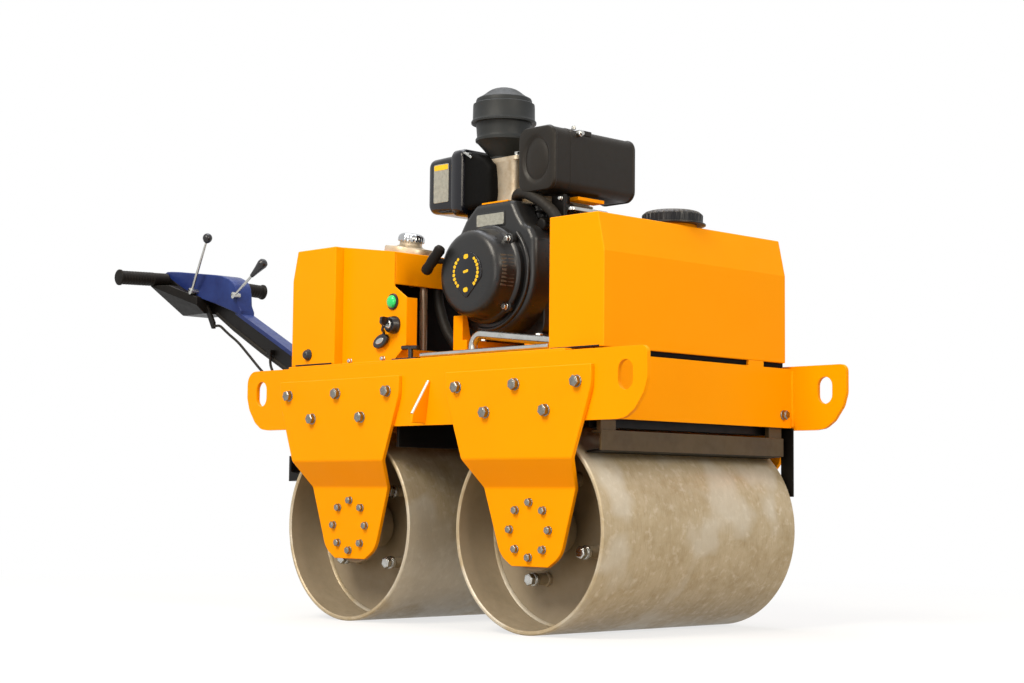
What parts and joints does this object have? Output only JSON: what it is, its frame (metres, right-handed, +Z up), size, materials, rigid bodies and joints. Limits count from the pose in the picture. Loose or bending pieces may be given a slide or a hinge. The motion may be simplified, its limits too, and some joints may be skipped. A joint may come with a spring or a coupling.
{
  "type": "walk-behind double-drum roller",
  "caption": "Walk-behind vibratory roller: two smooth steel drums in a plate frame, top-mounted engine, water tank, rear housing and a folding steering handle.",
  "frame": {"origin": "on the floor, under the middle of the whole machine's bounding box", "axes": "+X is the direction of travel, away from the operator; +Y is the machine's left; +Z is up"},
  "size_m": [2.007, 0.676, 1.198],
  "materials": {
    "yellow_paint": "gloss enamel on steel plate",
    "drum_steel": "bare rolled steel, dusty",
    "black_paint": "black enamel on steel",
    "engine_black": "satin black enamel",
    "head_metal": "cast, bare",
    "cleaner_plastic": "moulded",
    "silencer_paint": "heat-resistant black",
    "tank_cap_plastic": "moulded, ribbed",
    "chrome_plate": "polished plating",
    "zinc_steel": "zinc plated",
    "hose_rubber": "smooth hose cover",
    "grip_rubber": "matt",
    "console_blue": "gloss enamel",
    "switch_plastic": "clear green lens and black body"
  },
  "bodies": {
    "frame": {"air_cleaner": "cleaner_plastic", "centre_beam": "black_paint", "cylinder_head": "head_metal", "engine_block": "engine_black", "engine_deck": "yellow_paint", "engine_mounts": "yellow_paint", "fan_shroud": "engine_black", "filler_cap": "chrome_plate", "filler_flange": "zinc_steel", "front_cross_plate": "yellow_paint", "front_hubs": "yellow_paint", "front_leg_left": "yellow_paint", "front_leg_right": "yellow_paint", "front_scraper": "black_paint", "hood": "yellow_paint", "hood_side_left": "yellow_paint", "hood_side_right": "yellow_paint", "hose_fittings": "zinc_steel", "hose_guard": "black_paint", "hydraulic_pump": "engine_black", "muffler": "silencer_paint", "oil_tank": "black_paint", "panel_switches": "switch_plastic", "pivot_bracket": "yellow_paint", "pre_cleaner": "cleaner_plastic", "rear_cover": "yellow_paint", "rear_cross_plate": "yellow_paint", "rear_hubs": "yellow_paint", "rear_leg_left": "yellow_paint", "rear_leg_right": "yellow_paint", "rear_scraper": "black_paint", "recoil_starter": "engine_black", "riser_pipe": "zinc_steel", "side_plate_left": "yellow_paint", "side_plate_right": "yellow_paint", "starter_grip": "grip_rubber", "suction_hose": "hose_rubber", "water_pipes": "zinc_steel", "water_tank": "yellow_paint", "water_tank_cap": "tank_cap_plastic"},
    "front_drum": {"front_drum": "drum_steel"},
    "rear_drum": {"rear_drum": "drum_steel"},
    "handle": {"handle_frame": "black_paint", "arm_cap": "console_blue", "handle_grips": "grip_rubber", "console_cover": "console_blue", "console_box": "black_paint", "control_levers": "chrome_plate", "cable_clips": "black_paint", "control_cables": "hose_rubber"}
  },
  "joints": [
    {"name": "front_drum_spin", "type": "hinge", "parent": "frame", "child": "front_drum", "pos_m": [0.6615, 0, 0.213], "axis": [0, 1, 0], "continuous": true},
    {"name": "rear_drum_spin", "type": "hinge", "parent": "frame", "child": "rear_drum", "pos_m": [0.0875, 0, 0.213], "axis": [0, 1, 0], "continuous": true},
    {"name": "handle_tilt", "type": "hinge", "parent": "frame", "child": "handle", "pos_m": [-0.2155, 0, 0.482], "axis": [0, 1, 0], "range_deg": [0, 60]}
  ]
}
